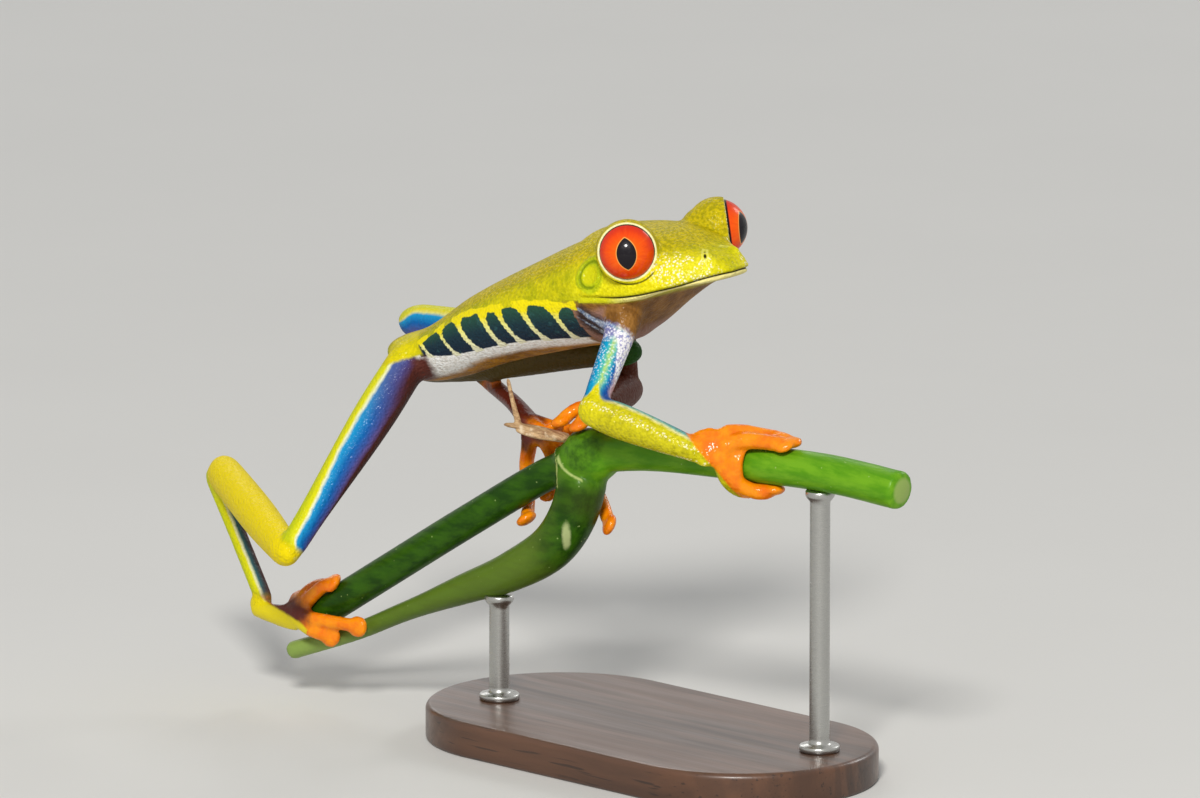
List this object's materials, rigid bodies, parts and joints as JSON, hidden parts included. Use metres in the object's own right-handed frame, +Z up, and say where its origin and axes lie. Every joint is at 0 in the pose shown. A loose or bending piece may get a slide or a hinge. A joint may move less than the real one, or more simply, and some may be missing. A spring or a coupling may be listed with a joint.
{
  "type": "red-eyed tree frog model on a vine perch",
  "caption": "Life-size still model of a red-eyed tree frog stepping along a cut length of green vine, held by a flat base with two thin rods.",
  "frame": {"origin": "middle of the bottom of the part's bounding box, at the level of the stand's underside", "axes": "+X the way the frog's head faces and along the vine, +Y the frog's left, +Z up"},
  "size_m": [0.086, 0.0328, 0.0548],
  "materials": {
    "skin_green": "moist, finely granular amphibian skin, yellow-green with blue flanks and cream bars",
    "skin_orange": "moist orange skin of the hands and feet",
    "eye": "wet, glassy red iris with an upright black pupil",
    "vine": "smooth waxy green stem",
    "dry_bract": "dry papery brown",
    "base_wood": "dark satin wood",
    "rod_steel": "satin steel"
  },
  "bodies": {
    "root": {"eye_left": "eye", "eye_right": "eye", "foot_left": "skin_orange", "foot_right": "skin_orange", "forearm_left": "skin_green", "forearm_right": "skin_green", "hand_left": "skin_orange", "hand_right": "skin_orange", "head": "skin_green", "jaw": "skin_green", "perch_bract": "dry_bract", "perch_node": "vine", "perch_petiole": "vine", "perch_stem_front": "vine", "perch_stem_rear": "vine", "shank_left": "skin_green", "shank_right": "skin_green", "stand_base": "base_wood", "stand_rod_front": "rod_steel", "stand_rod_rear": "rod_steel", "tarsus_left": "skin_green", "tarsus_right": "skin_green", "thigh_left": "skin_green", "thigh_right": "skin_green", "trunk": "skin_green", "upper_arm_left": "skin_green", "upper_arm_right": "skin_green"}
  },
  "joints": []
}
